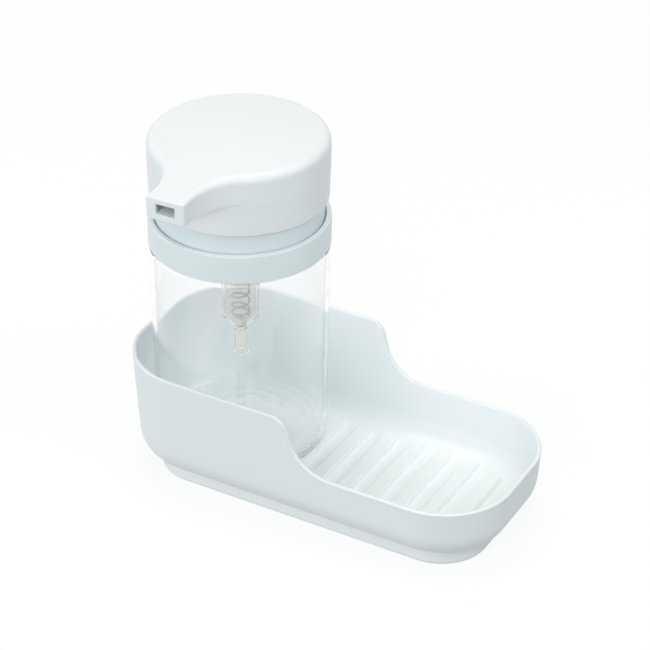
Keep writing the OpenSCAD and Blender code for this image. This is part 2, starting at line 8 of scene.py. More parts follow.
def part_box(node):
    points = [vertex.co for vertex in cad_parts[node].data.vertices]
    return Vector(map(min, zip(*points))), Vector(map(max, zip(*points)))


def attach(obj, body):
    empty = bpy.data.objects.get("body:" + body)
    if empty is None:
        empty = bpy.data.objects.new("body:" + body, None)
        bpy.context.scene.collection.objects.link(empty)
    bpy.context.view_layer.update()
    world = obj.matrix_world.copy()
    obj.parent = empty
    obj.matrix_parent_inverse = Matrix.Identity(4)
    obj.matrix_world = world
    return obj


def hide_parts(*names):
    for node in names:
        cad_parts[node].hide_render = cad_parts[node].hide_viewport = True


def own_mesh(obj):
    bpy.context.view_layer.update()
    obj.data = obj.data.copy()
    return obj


# Soap pump caddy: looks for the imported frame. Sizes are in millimetres here and become metres in makePiece.
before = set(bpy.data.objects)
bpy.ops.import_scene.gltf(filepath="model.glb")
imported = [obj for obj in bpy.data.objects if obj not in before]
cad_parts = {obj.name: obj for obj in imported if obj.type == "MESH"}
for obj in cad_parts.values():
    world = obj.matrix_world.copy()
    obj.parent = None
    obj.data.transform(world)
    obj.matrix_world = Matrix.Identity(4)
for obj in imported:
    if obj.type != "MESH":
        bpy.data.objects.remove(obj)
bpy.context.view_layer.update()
mm = 0.001


def boxOf(node):
    # lowest and highest corner of a CAD node, in millimetres
    low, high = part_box(node)
    return np.array(low) / mm, np.array(high) / mm


trayLow, trayHigh = boxOf("tray")
bottleLow, bottleHigh = boxOf("bottle")
ringLow, ringHigh = boxOf("lid_ring")
collarLow, collarHigh = boxOf("pump_collar")
shellLow, shellHigh = boxOf("head_shell")
axis = (ringLow[:2] + ringHigh[:2]) / 2  # the bottle's axis in plan
print("frame loaded, bottle axis at", axis.round(3))


def gridFaces(rows, cols, closedCols=True):
    # quads of a grid whose point (r, c) has index r * cols + c; the last column joins the first when closed
    r = np.arange(rows - 1)[:, None]
    c = np.arange(cols if closedCols else cols - 1)[None, :]
    n = (c + 1) % cols
    quads = np.stack([r * cols + c, r * cols + n, (r + 1) * cols + n, (r + 1) * cols + c], axis=-1)
    return quads.reshape(-1, 4)


def fanFaces(count, pole, first):
    # triangles from the point with index pole to a closed ring of count points whose indices start at first
    k = np.arange(count)
    return np.stack([np.full(count, pole), first + k, first + (k + 1) % count], axis=1)


def makePiece(name, parts, sharp=38, weld=0.002):
    # parts: pairs of points and faces, the faces an array with a row for each. The parts are welded where
    # they meet, normals are turned outwards, and edges that turn by more than sharp degrees stay crisp
    vertices, faces, offset = [], [], 0
    for points, rows in parts:
        points = np.asarray(points, float).reshape(-1, 3)
        vertices.append(points)
        faces += (np.asarray(rows) + offset).tolist()
        offset += len(points)
    mesh = bpy.data.meshes.new(name)
    mesh.from_pydata((np.concatenate(vertices) * mm).tolist(), [], faces)
    work = bmesh.new()
    work.from_mesh(mesh)
    bmesh.ops.remove_doubles(work, verts=work.verts, dist=weld * mm)
    bmesh.ops.dissolve_degenerate(work, edges=work.edges, dist=weld * mm / 4)
    bmesh.ops.recalc_face_normals(work, faces=work.faces)
    work.to_mesh(mesh)
    work.free()
    mesh.shade_smooth()
    mesh.set_sharp_from_angle(angle=math.radians(sharp))
    piece = bpy.data.objects.new(name, mesh)
    bpy.context.scene.collection.objects.link(piece)
    return piece


def roundLoop(corners, radii, steps=5, guard=0.2):
    # closed polygon with every corner turned into an arc of its own radius: the arc's centre lies on the
    # corner's bisector, its ends one tangent length away, and a guard point beyond each end keeps flats flat
    mostOfSide, mostOfRest = 0.45, 0.3  # the most that a tangent takes of a side, and a guard of what is left
    corners = np.asarray(corners, float)
    radii = np.broadcast_to(np.asarray(radii, float), len(corners))
    back = np.roll(corners, 1, axis=0) - corners
    ahead = np.roll(corners, -1, axis=0) - corners
    backLen, aheadLen = np.linalg.norm(back, axis=1), np.linalg.norm(ahead, axis=1)
    back, ahead = back / backLen[:, None], ahead / aheadLen[:, None]
    shorter = np.minimum(backLen, aheadLen)
    half = np.arccos(np.clip((back * ahead).sum(1), -1, 1)) / 2
    tangent = np.minimum(radii / np.tan(half), mostOfSide * shorter)
    radius = tangent * np.tan(half)
    bisector = back + ahead
    bisector /= np.maximum(np.linalg.norm(bisector, axis=1), 1e-9)[:, None]
    centre = corners + bisector * (radius / np.sin(half))[:, None]
    start, end = corners + back * tangent[:, None], corners + ahead * tangent[:, None]
    t = np.linspace(0, 1, steps + 1)[None, :, None]
    a0, a1 = start - centre, end - centre
    sweep = (math.pi - 2 * half)[:, None, None]
    weightA = np.sin((1 - t) * sweep) / np.sin(sweep)
    weightB = np.sin(t * sweep) / np.sin(sweep)
    arcs = centre[:, None] + a0[:, None] * weightA + a1[:, None] * weightB
    reach = np.minimum(guard, mostOfRest * (shorter - 2 * tangent))[:, None, None]
    before = start[:, None] + back[:, None] * reach
    after = end[:, None] + ahead[:, None] * reach
    return np.concatenate([before, arcs, after], axis=1).reshape(-1, 2)


def denseRuns(loop, step):
    # splits every run longer than step into equal shorter runs
    nextPoint = np.roll(loop, -1, axis=0)
    counts = np.maximum(np.ceil(np.linalg.norm(nextPoint - loop, axis=1) / step), 1).astype(int)
    owner = np.repeat(np.arange(len(loop)), counts)
    place = (np.arange(counts.sum()) - np.repeat(np.cumsum(counts) - counts, counts)) / counts[owner]
    return loop[owner] + (nextPoint[owner] - loop[owner]) * place[:, None]


def latheGrid(profile, segments, push=None):
    # profile of (radius, height) turned round the bottle's axis; push adds to the radius by height and angle
    profile = np.asarray(profile, float)
    angle = np.linspace(0, 2 * math.pi, segments, endpoint=False)[None, :]
    radius = profile[:, :1] + np.zeros_like(angle)
    height = profile[:, 1:] + np.zeros_like(angle)
    if push is not None:
        radius = radius + push(radius, height, angle)
    return np.stack([axis[0] + radius * np.cos(angle), axis[1] + radius * np.sin(angle), height], axis=-1)


def ringPiece(name, corners, s, push=None):
    # a solid of revolution with a bore: its closed section is rounded, then turned
    loop = denseRuns(roundLoop(corners, s["rounds"], s["arcSteps"]), s["longestRun"])
    grid = latheGrid(np.vstack([loop, loop[:1]]), s["segments"], push)
    return makePiece(name, [(grid, gridFaces(len(grid), s["segments"]))])


def linear(hexColour):
    # sRGB hex to the linear values that the shader takes
    value = np.array([int(hexColour[i:i + 2], 16) for i in (1, 3, 5)]) / 255
    value = np.where(value <= 0.04045, value / 12.92, ((value + 0.055) / 1.055) ** 2.4)
    return (*value.tolist(), 1.0)


def addNode(tree, kind, settings=None, links=None):
    # settings: values for the node's own attributes or its inputs; links: the outputs that feed its inputs
    node = tree.nodes.new(kind)
    for key, value in (settings or {}).items():
        if isinstance(key, str) and hasattr(node, key):
            setattr(node, key, value)
        else:
            node.inputs[key].default_value = value
    for key, source in (links or {}).items():
        tree.links.new(source, node.inputs[key])
    return node


def startMaterial(name, settings):
    # a new material whose Principled shader has these constants on its own inputs
    material = bpy.data.materials.new(name)
    material.use_nodes = True
    tree = material.node_tree
    shader = tree.nodes["Principled BSDF"]
    for key, value in settings.items():
        shader.inputs[key].default_value = value
    return material, tree, shader


mould = {
    "drift": 0.03,  # how far the gloss wanders as the melt flowed
    "driftRun": 38.0,  # over this many millimetres, a palm's width
    "bite": 0.35,  # how strongly the grain tilts the surface
}


def mouldedPlastic(name, colour, roughness, ior, grain, depth):
    # grain: size of the mould's spark-eroded texture in millimetres; depth: its height in millimetres
    material, tree, shader = startMaterial(name, {"Base Color": linear(colour), "IOR": ior})
    place = addNode(tree, "ShaderNodeTexCoord").outputs["Object"]
    fine = addNode(tree, "ShaderNodeTexNoise", {"Scale": 1 / (grain * mm), "Detail": 2.0, "Roughness": 0.55},
                   {"Vector": place})
    broad = addNode(tree, "ShaderNodeTexNoise", {"Scale": 1 / (mould["driftRun"] * mm), "Detail": 1.0},
                    {"Vector": place})
    gloss = addNode(tree, "ShaderNodeMapRange",
                    {"To Min": roughness - mould["drift"], "To Max": roughness + mould["drift"]},
                    {"Value": broad.outputs["Fac"]})
    bump = addNode(tree, "ShaderNodeBump", {"Strength": mould["bite"], "Distance": depth * mm},
                   {"Height": fine.outputs["Fac"]})
    tree.links.new(gloss.outputs["Result"], shader.inputs["Roughness"])
    tree.links.new(bump.outputs["Normal"], shader.inputs["Normal"])
    return material


# ABS with a fine satin mould texture: a broad soft sheen, whitest on the head
headAbs = mouldedPlastic("headAbsSatin", "#F7F9FA", roughness=0.36, ior=1.53, grain=0.35, depth=0.02)
ringAbs = mouldedPlastic("ringAbsSatin", "#F1F7F8", roughness=0.34, ior=1.53, grain=0.35, depth=0.02)
collarAbs = mouldedPlastic("collarAbsSatin", "#EAF2F5", roughness=0.36, ior=1.53, grain=0.35, depth=0.02)
# polystyrene with a satin mould texture: a cool white
trayStyrene = mouldedPlastic("trayPolystyreneSatin", "#F8FBFC", roughness=0.38, ior=1.57, grain=0.4, depth=0.02)
# thermoplastic elastomer, moulded matt: no sheen; its colour is set a touch whiter than the tray above it as painted
# light, standing in for the light that the floor throws up onto the band
bandElastomerPaintedLight = mouldedPlastic("bandElastomerMatte", "#FCFDFD", roughness=0.62, ior=1.5, grain=0.3, depth=0.04)
# acetal, moulded: a plain white with a faint waxy sheen, for the parts that slide
guideAcetal = mouldedPlastic("guideAcetalMoulded", "#F4F5F4", roughness=0.42, ior=1.48, grain=0.3, depth=0.02)
# silicone, moulded: grey and dull
sealRubber = mouldedPlastic("sealSiliconeMoulded", "#C9CFD2", roughness=0.55, ior=1.43, grain=0.3, depth=0.03)


def clearResin(name, colour, ior, roughness, ripple, depth, weight=1.0, gloss=0.0):
    # ripple and depth: length and height in millimetres of the waves that the flow leaves in a moulded wall;
    # weight below 1 makes it milky; gloss: the mirror reflection of a polished face
    material, tree, shader = startMaterial(name, {
        "Base Color": linear(colour), "IOR": ior, "Transmission Weight": weight, "Roughness": roughness,
        "Coat Weight": gloss, "Coat Roughness": 0.02, "Coat IOR": 1.5})
    place = addNode(tree, "ShaderNodeTexCoord").outputs["Object"]
    wave = addNode(tree, "ShaderNodeTexNoise", {"Scale": 1 / (ripple * mm), "Detail": 1.0}, {"Vector": place})
    bump = addNode(tree, "ShaderNodeBump", {"Strength": 0.3, "Distance": depth * mm},
                   {"Height": wave.outputs["Fac"]})
    tree.links.new(bump.outputs["Normal"], shader.inputs["Normal"])
    return material


# SAN resin, injection moulded and polished: clear, with mirror-like faces. The index for the light that goes
# through is below the resin's own, since the photograph shows the thin wall bend hardly any light, and the
# coat holds the full reflection
bottleResin = clearResin("bottleSanResinPolished", "#FDFEFE", ior=1.12, roughness=0.02, ripple=30, depth=0.15,
                         gloss=1.0)
# unpigmented polypropylene, moulded: faintly milky and warm, so the spring inside shows softly
housingPolypropylene = clearResin("housingPolypropyleneNatural", "#FDFBF6", ior=1.15, roughness=0.08, ripple=6,
                                  depth=0.03, weight=0.8)
# polyethylene tube, extruded: so thin and clear that it is all but lost in the bottle
dipPolyethylene, _, _ = startMaterial("dipTubePolyethyleneExtruded", {
    "Base Color": linear("#F6F4EF"), "Roughness": 0.3, "Alpha": 0.04})


def steel(name, colour, roughness, scratch, wander=0.06):
    # scratch: spacing in millimetres of the marks that drawing or lapping leaves; wander: their effect on gloss
    material, tree, shader = startMaterial(name, {"Base Color": linear(colour), "Metallic": 1.0})
    place = addNode(tree, "ShaderNodeTexCoord").outputs["Object"]
    marks = addNode(tree, "ShaderNodeTexNoise", {"Scale": 1 / (scratch * mm), "Detail": 3.0}, {"Vector": place})
    gloss = addNode(tree, "ShaderNodeMapRange", {"To Min": roughness - wander, "To Max": roughness + wander},
                    {"Value": marks.outputs["Fac"]})
    tree.links.new(gloss.outputs["Result"], shader.inputs["Roughness"])
    return material


# stainless steel, drawn to wire and lapped to balls: a grey mirror, softer on the wire
springSteel = steel("springStainlessDrawn", "#A9AEB2", roughness=0.25, scratch=0.4)
ballSteel = steel("ballStainlessLapped", "#B6BABD", roughness=0.14, scratch=0.3)
print("materials made")


def dress(piece, material, body, slot, *nodes):
    # the piece's finish, the body it moves with, its slot, which is not used, and the CAD nodes whose place it takes
    piece.data.materials.clear()
    piece.data.materials.append(material)
    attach(piece, body)
    if nodes:
        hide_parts(*nodes)


def redress(node, material):
    # a CAD node that stays gets its finish in every material slot
    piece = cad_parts[node]
    if not piece.material_slots:
        piece.data.materials.append(material)
    for place in piece.material_slots:
        place.material = material
    print("finish on", node)


def letLightThrough(piece):
    # lamps' rays and light from matt surfaces pass a clear wall, so that what stands behind it is lit as
    # behind real clear resin
    piece.visible_shadow = False
    piece.visible_diffuse = False


tray = {
    "cornerRadius": 37.0, "wallHigh": trayHigh[2], "wallLow": 36.4, "wall": 2.0, "lean": 3.4,
    "bellyRadius": 15.3, "foot": 7.0, "floor": 11.0, "rimRound": 0.72,
    "recess": 9.0, "recessRadius": 16.0, "recessEdge": 0.3,
    "stepStart": axis[0] + 45.0, "stepSlope": 73.0, "stepTopRadius": 8.0, "stepFootRadius": 22.0,
    "ribs": 7, "ribPitch": 14.7, "ribWidth": 7.0, "ribHeight": 2.8, "ribEnd": 7.7, "ribSide": 2.4,
    "ribSoft": 0.42, "seatRadius": 38.0,
    # the floor's mesh: columns along it and round a corner, their least spacing, close ones beside the ribs'
    # edges and over the step in the rim, then rows across a side and between the corners
    "columns": 90, "cornerColumns": 31, "leastColumn": 0.07, "edgeBand": 0.6, "edgeColumns": 9, "edgeRows": 6,
    "stepLead": 1.0, "stepRun": 33.0, "stepColumn": 0.55, "sideRows": 30, "middleRows": 17,
    # the walls' mesh: rows round the floor's curve, each edge of the rim and the belly, and shares of a height
    "curveRows": 13, "rimRows": 6, "bellyRows": 16, "wallShares": (0.03, 0.2, 0.4, 0.6, 0.8, 0.97),
}


def rimHeight(x):
    # the rim falls from the high wall over a convex arc, a straight slope and a long concave arc
    slope = math.radians(tray["stepSlope"])
    top, foot = tray["stepTopRadius"], tray["stepFootRadius"]
    high, low = tray["wallHigh"], tray["wallLow"]
    run = (high - low - (top + foot) * (1 - math.cos(slope))) / math.tan(slope)
    a = tray["stepStart"]
    b = a + top * math.sin(slope)
    c = b + run
    d = c + foot * math.sin(slope)
    convex = high - top + np.sqrt(np.maximum(top ** 2 - np.clip(x - a, 0, b - a) ** 2, 0))
    straight = high - top * (1 - math.cos(slope)) - (x - b) * math.tan(slope)
    concave = low + foot - np.sqrt(np.maximum(foot ** 2 - np.clip(d - x, 0, d - c) ** 2, 0))
    return np.where(x < b, convex, np.where(x < c, straight, concave))


def trayFloor(coreX, coreY, floorEdge, middle):
    # a height field over the rounded floor plan. Columns along X are closer at the rib edges, the step in the
    # rim and the corners. Ribs and bottle seat rise by a soft step across the nearest edge:
    # floor + ribHeight * t squared * (3 - 2t), t being the distance inside that edge over ribSoft, plus a half
    s = tray
    lastRib = coreX + floorEdge - s["ribEnd"] - s["ribWidth"]
    ribStart = lastRib - s["ribPitch"] * np.arange(s["ribs"])
    edges = np.concatenate([ribStart, ribStart + s["ribWidth"]])
    near = (edges[:, None] + np.linspace(-s["edgeBand"], s["edgeBand"], s["edgeColumns"])[None, :]).ravel()
    stepX = s["stepStart"] - middle[0]
    step = np.arange(stepX - s["stepLead"], stepX + s["stepRun"], s["stepColumn"])
    bend = coreX + floorEdge * np.sin(np.radians(np.linspace(0, 90, s["cornerColumns"])))
    xs = np.concatenate([np.linspace(-coreX, coreX, s["columns"]), near, step, bend, -bend])
    xs = np.unique(np.round(np.clip(xs, -coreX - floorEdge, coreX + floorEdge), 3))
    keep = np.concatenate([[True], np.diff(xs) > s["leastColumn"]])
    keep[-1] = True
    xs = xs[keep]
    ribSide = (floorEdge - s["ribSide"] + np.linspace(-s["edgeBand"], s["edgeBand"], s["edgeRows"])) / floorEdge
    edgeShare = np.unique(np.round(np.concatenate([np.linspace(0, 1, s["sideRows"]), ribSide]), 4))
    over = np.maximum(np.abs(xs) - coreX, 0)
    span = np.sqrt(np.maximum(floorEdge ** 2 - over ** 2, 0))
    upper = coreY + span[:, None] * edgeShare[None, :]
    inner = np.linspace(-coreY, coreY, s["middleRows"])[1:-1]
    inner = np.broadcast_to(inner, (len(xs), len(inner)))
    ys = np.concatenate([-upper[:, ::-1], inner, upper], axis=1)
    gx = np.broadcast_to(xs[:, None], ys.shape)

    outX = gx - np.clip(gx, -coreX, coreX)
    outY = ys - np.clip(ys, -coreY, coreY)
    toEnd = floorEdge - s["ribSide"] - np.hypot(outX, outY)
    toRib = np.max(np.minimum(gx[..., None] - ribStart, ribStart + s["ribWidth"] - gx[..., None]), axis=-1)
    toSeat = s["seatRadius"] - np.hypot(gx - (axis[0] - middle[0]), ys)
    rise = np.clip(np.minimum(np.maximum(toRib, toSeat), toEnd) / s["ribSoft"] * 0.5 + 0.5, 0, 1)
    gz = s["floor"] + s["ribHeight"] * rise ** 2 * (3 - 2 * rise)
    return np.stack([gx, ys, gz], axis=-1)


def makeTray():
    # the floor's edge points climb the inner wall, turn over the rim and run down the outside, each along its
    # own outward direction from the corner centres: radius and height are worked out row by row
    s = tray
    lean = math.radians(s["lean"])
    tanLean = math.tan(lean)
    bellyZ = s["foot"] + s["bellyRadius"]
    innerWall = s["wall"] / math.cos(lean)
    curve = bellyZ - s["floor"]
    leanRun = (s["wallHigh"] - bellyZ) * tanLean
    lift = math.cos(lean) + math.sin(lean) * tanLean
    floorEdge = s["cornerRadius"] - innerWall - leanRun - curve * lift
    outerEdge = s["cornerRadius"] - leanRun - s["bellyRadius"] * lift
    highEndLean = (s["wallHigh"] - s["wallLow"]) * tanLean / 2
    middle = np.array([(trayLow[0] + trayHigh[0]) / 2 + highEndLean, axis[1]])
    coreX = middle[0] - trayLow[0] - s["cornerRadius"]
    coreY = (trayHigh[1] - trayLow[1]) / 2 - s["cornerRadius"]
    floorGrid = trayFloor(coreX, coreY, floorEdge, middle)

    # the loop round the floor's edge, with its corner centres and outward directions
    loop = np.concatenate([floorGrid[:, 0], floorGrid[-1, 1:], floorGrid[-2::-1, -1], floorGrid[0, -2:0:-1]])
    loop = loop[:, :2]
    core = np.clip(loop, [-coreX, -coreY], [coreX, coreY])
    out = (loop - core) / np.linalg.norm(loop - core, axis=1)[:, None]
    rimX = core[:, 0] + out[:, 0] * (s["cornerRadius"] - s["wall"] / 2)
    top = rimHeight(rimX + middle[0])
    flat = 0 * top
    q = s["rimRound"]
    innerTop = s["cornerRadius"] - innerWall + (top - s["wallHigh"]) * tanLean
    outerTop = s["cornerRadius"] + (top - s["wallHigh"]) * tanLean
    rows = []
    for a in np.radians(np.linspace(-90, -s["lean"], s["curveRows"])):  # curve from the floor into the wall
        rows.append((floorEdge + curve * math.cos(a) + flat, bellyZ + curve * math.sin(a) + flat))
    wallFoot = bellyZ - curve * math.sin(lean)
    for share in s["wallShares"]:
        z = wallFoot + (top - q - wallFoot) * share
        rows.append((innerTop + (z - top) * tanLean, z))
    for a in np.radians(np.linspace(180, 90, s["rimRows"])):  # inner edge of the rim
        rows.append((innerTop + q + q * math.cos(a), top - q + q * math.sin(a)))
    for a in np.radians(np.linspace(90, 0, s["rimRows"])):  # outer edge of the rim
        rows.append((outerTop - q + q * math.cos(a), top - q + q * math.sin(a)))
    bellyTop = bellyZ - s["bellyRadius"] * math.sin(lean)
    for share in s["wallShares"]:
        z = top - q + (bellyTop - top + q) * share
        rows.append((outerTop + (z - top) * tanLean, z))
    for a in np.radians(np.linspace(-s["lean"], -90, s["bellyRows"])):  # belly
        r, z = outerEdge + s["bellyRadius"] * math.cos(a), bellyZ + s["bellyRadius"] * math.sin(a)
        rows.append((r + flat, z + flat))
    recess, edge = s["recessRadius"], s["recessEdge"]
    for r, z in ((recess + edge, s["foot"]), (recess, s["foot"] + edge), (recess, s["recess"])):
        rows.append((r + flat, z + flat))
    radius = np.array([row[0] for row in rows])[..., None]
    height = np.array([row[1] for row in rows])[..., None]
    wall = np.concatenate([core[None] + out[None] * radius, height], axis=-1)
    shift = np.array([*middle, 0])
    last = wall[-1] + shift
    parts = [
        (floorGrid + shift, gridFaces(*floorGrid.shape[:2], closedCols=False)),
        (wall + shift, gridFaces(len(wall), len(loop))),
        (last, [np.arange(len(last))]),
    ]
    return makePiece("trayShell", parts, sharp=50), {"coreX": coreX, "coreY": coreY, "middle": middle}


trayShell, trayPlan = makeTray()
dress(trayShell, trayStyrene, "caddy", "tray", "tray")
print("tray made,", len(trayShell.data.polygons), "faces")


band = {
    "outer": 24.5, "inner": 16.0, "height": 7.0, "flare": 2.0,
    "rounds": (0.6, 1.1, 0.5, 0.3),  # inside low, outside low, outside high, inside high
    "cornerColumns": 19,
}


def makeBand():
    # a rounded section carried along the rounded rectangle under the tray
    s = band
    section = roundLoop(
        [(s["inner"], 0), (s["outer"], 0), (s["outer"] - s["flare"], s["height"]), (s["inner"], s["height"])],
        s["rounds"])
    section = np.vstack([section, section[:1]])
    turn = np.radians(np.linspace(0, 90, s["cornerColumns"]))
    corners = np.array([[1, 1], [-1, 1], [-1, -1], [1, -1]]) * [trayPlan["coreX"], trayPlan["coreY"]]
    core = np.repeat(corners, len(turn), axis=0)
    angle = (turn[None, :] + np.radians([0, 90, 180, 270])[:, None]).ravel()
    out = np.stack([np.cos(angle), np.sin(angle)], axis=1)
    flat = core[None] + out[None] * section[:, 0][:, None, None]
    height = np.broadcast_to(section[:, 1][:, None, None], flat.shape[:2] + (1,))
    grid = np.concatenate([flat + trayPlan["middle"], height], axis=-1)
    return makePiece("footBand", [(grid, gridFaces(len(grid), len(core)))])


footBand = makeBand()
dress(footBand, bandElastomerPaintedLight, "caddy", "foot_band", "foot_band")
print("foot band made")


bottle = {
    "seat": bottleLow[2], "shoulder": bottleLow[2] + 106.6, "neckTop": bottleHigh[2],
    "baseRadius": 41.9, "radius": 42.6, "neckRadius": 39.0, "wall": 2.0, "base": 2.8,
    "heel": 7.0, "shoulderRound": 1.4, "neckRounds": (0.5, 0.6, 0.6, 0.8, 1.2),
    "punt": 33.9, "puntStep": 1.3, "puntShares": (0.78, 0.56), "puntRun": 5.0, "puntRounds": (9, 9, 7, 9, 7),
    # the mesh: columns, steps in an arc and a guard beyond it, longest run, where the section is cut at the
    # axis, and close rows on the neck that stay clear of its foot and top
    "segments": 192, "arcSteps": 7, "guard": 0.3, "longestRun": 3.0, "atAxis": 0.12,
    "neckRows": 46, "clearFoot": 0.8, "clearTop": 0.7,
}
thread = {
    "pitch": 4.0, "ridge": 1.0, "width": 1.7, "low": bottle["shoulder"] + 2.0, "high": bottle["neckTop"] - 1.2,
    "fade": 0.8,
    "near": 0.05,  # points of a wall this close to its radius carry the thread
}


def threadRidge(height, angle, offset):
    # a rounded ridge that climbs one pitch in a turn and fades out at both ends of its band
    turn = angle / (2 * math.pi)
    phase = (height - thread["low"]) / thread["pitch"] - turn - offset
    distance = np.abs(phase - np.round(phase)) * thread["pitch"]
    ridge = np.clip(1 - (distance / (thread["width"] / 2)) ** 2, 0, 1)
    starts = np.clip((height - thread["low"]) / thread["fade"], 0, 1)
    ends = np.clip((thread["high"] - height) / thread["fade"], 0, 1)
    return thread["ridge"] * ridge * (starts * ends)


def makeBottle():
    # a closed section, from the axis out over the punt's steps, up the outside, over the neck and back down
    # inside, is rounded, cut open at the axis and turned; a fan of triangles closes each side's middle
    s = bottle
    z0, w, step, run, lift = s["seat"], s["wall"], s["puntStep"], s["puntRun"], s["base"]
    r1 = s["punt"]
    r2, r3 = (r1 * share for share in s["puntShares"])
    outerPole, innerPole = z0 + 3 * step, z0 + lift + 3 * step
    outer = [(r3, z0 + 2 * step), (r2 - run, z0 + 2 * step), (r2, z0 + step), (r1 - run, z0 + step), (r1, z0),
             (s["baseRadius"], z0), (s["radius"], s["shoulder"]), (s["neckRadius"], s["shoulder"]),
             (s["neckRadius"], s["neckTop"])]
    inner = [(s["neckRadius"] - w, s["neckTop"]), (s["neckRadius"] - w, s["shoulder"] - w),
             (s["radius"] - w, s["shoulder"] - w), (s["baseRadius"] - w, z0 + lift), (r1, z0 + lift),
             (r1 - run, z0 + lift + step), (r2, z0 + lift + step), (r2 - run, z0 + lift + 2 * step),
             (r3, z0 + lift + 2 * step)]
    radii = [*s["puntRounds"], s["heel"], s["shoulderRound"], *s["neckRounds"], s["heel"] - 1, *s["puntRounds"][::-1]]
    onAxis = 0.01  # the corners at the axis are cut off below, so they stay all but sharp
    corners = outer + inner + [(0, innerPole), (0, outerPole)]
    loop = denseRuns(roundLoop(corners, radii + [onAxis, onAxis], s["arcSteps"], s["guard"]), s["longestRun"])
    section = loop[loop[:, 0] > s["atAxis"]]
    first = np.argmin(np.hypot(section[:, 0], section[:, 1] - outerPole))
    section = np.roll(section, -first, axis=0)
    # close rows on the neck, where the thread runs
    neckFoot, neckTop = s["shoulder"] + s["clearFoot"], s["neckTop"] - s["clearTop"]
    onNeck = np.abs(section[:, 0] - s["neckRadius"]) < thread["near"]
    at = np.flatnonzero(onNeck & (section[:, 1] > neckFoot) & (section[:, 1] < neckTop))
    neckZ = np.linspace(section[at[0], 1], section[at[-1], 1], s["neckRows"])
    ladder = np.stack([np.full(s["neckRows"], s["neckRadius"]), neckZ], axis=1)
    section = np.vstack([section[:at[0]], ladder, section[at[-1] + 1:]])

    def push(radius, height, angle):
        onThread = (np.abs(radius - s["neckRadius"]) < thread["near"]) & (height > neckFoot)
        return np.where(onThread, threadRidge(height, angle, 0.0), 0)

    segments = s["segments"]
    grid = latheGrid(section, segments, push)
    poles = np.array([[*axis, outerPole], [*axis, innerPole]])
    caps = np.vstack([poles, grid[0], grid[-1]])
    fans = np.vstack([fanFaces(segments, 0, 2), fanFaces(segments, 1, 2 + segments)])
    return makePiece("bottleShell", [(grid, gridFaces(len(grid), segments)), (caps, fans)], sharp=60)


bottleShell = makeBottle()
dress(bottleShell, bottleResin, "bottle", "bottle", "bottle")
print("bottle made")


ring = {
    "radius": 43.0, "skirt": 1.8, "low": ringLow[2], "top": ringHigh[2], "ledge": 2.3, "boss": 39.8, "gap": 0.7,
    "rounds": (0.3, 0.45, 0.9, 0.35, 0.25, 0.3),  # in the order of the corners
    # the thread's height as a share of the neck's, how far it stays above the skirt's foot and passes the neck's
    "threadShare": 0.9, "threadFoot": 0.5, "threadOver": 0.4,
    "segments": 192, "arcSteps": 6, "longestRun": 0.5,
}


def makeRing():
    # outside a plain band with a soft top edge; inside a thread that runs between the neck's ridges
    s = ring
    bore = s["radius"] - s["skirt"]
    eye = s["boss"] + s["gap"]
    corners = [(bore, s["low"]), (s["radius"], s["low"]), (s["radius"], s["top"]), (eye, s["top"]),
               (eye, s["top"] - s["ledge"]), (bore, s["top"] - s["ledge"])]

    def push(radius, height, angle):
        low, high = s["low"] + s["threadFoot"], thread["high"] + s["threadOver"]
        onThread = (np.abs(radius - bore) < thread["near"]) & (height < high) & (height > low)
        return np.where(onThread, -s["threadShare"] * threadRidge(height, angle, 0.5), 0)

    return ringPiece("screwRing", corners, s, push)


screwRing = makeRing()
dress(screwRing, ringAbs, "ring", "lid_ring", "lid_ring")

collar = {
    "boss": 39.8, "bossWall": 2.0, "deckOuter": 40.9, "bore": 8.9, "low": collarLow[2], "deck": 1.9,
    "top": collarHigh[2], "rounds": (0.25, 0.3, 0.3, 0.3, 0.7, 0.5, 0.8, 0.25),  # in the order of the corners
    "segments": 160, "arcSteps": 5, "longestRun": 4.0,
}


def makeCollar():
    # an upright boss on a flat deck, with the bore that the housing hangs in
    s = collar
    deckTop = s["low"] + s["deck"]
    inner = s["boss"] - s["bossWall"]
    corners = [(s["bore"], s["low"]), (s["deckOuter"], s["low"]), (s["deckOuter"], deckTop), (s["boss"], deckTop),
               (s["boss"], s["top"]), (inner, s["top"]), (inner, deckTop), (s["bore"], deckTop)]
    return ringPiece("pumpCollar", corners, s)


pumpCollar = makeCollar()
dress(pumpCollar, collarAbs, "pump_core", "pump_collar", "pump_collar")
print("screw ring and collar made")


head = {
    "heading": 2.0, "radius": 42.4, "footRadius": 41.9, "foot": shellLow[2], "top": shellHigh[2],
    "wall": 1.6, "roof": 1.7, "shoulder": 4.2, "blend": 30.0, "rimRound": 0.55,
    "reach": 66.5, "tipWidth": 19.5, "tipHeight": 10.8, "tipEdge": 0.8, "tipCorner": 1.0, "edgePower": 0.7,
    "drop": 6.0, "crest": 18.0, "crestBack": 8.0, "rootFillet": 1.5, "lowEdge": 0.4, "fade": 2.5,
    "outletWidth": 9.5, "outletHeight": 4.8, "outletDepth": 14.0, "chamfer": 0.35,
    "socket": 6.1, "socketWall": 1.6, "socketFoot": 170.9, "socketEdge": 0.3,
    # the mesh: columns round the tip's corner, along the spout's side, round the blend arc and half the drum
    "columns": (7, 7, 29, 76),
    "roofRows": 5, "hollowRows": 9, "rimRows": 5, "drumRows": 6, "filletRows": 7, "edgeRows": 5, "shoulderRows": 15,
    "underShares": (0.1, 0.5, 0.9), "sideFoot": 0.02, "sideTop": 0.97, "guard": 0.3,
    # below the spout's underside the drum's own rows stop, and the rows that form the underside climb its wall
    "drumStop": 1.9, "climbStart": 1.6, "climbRun": 2.0,
}


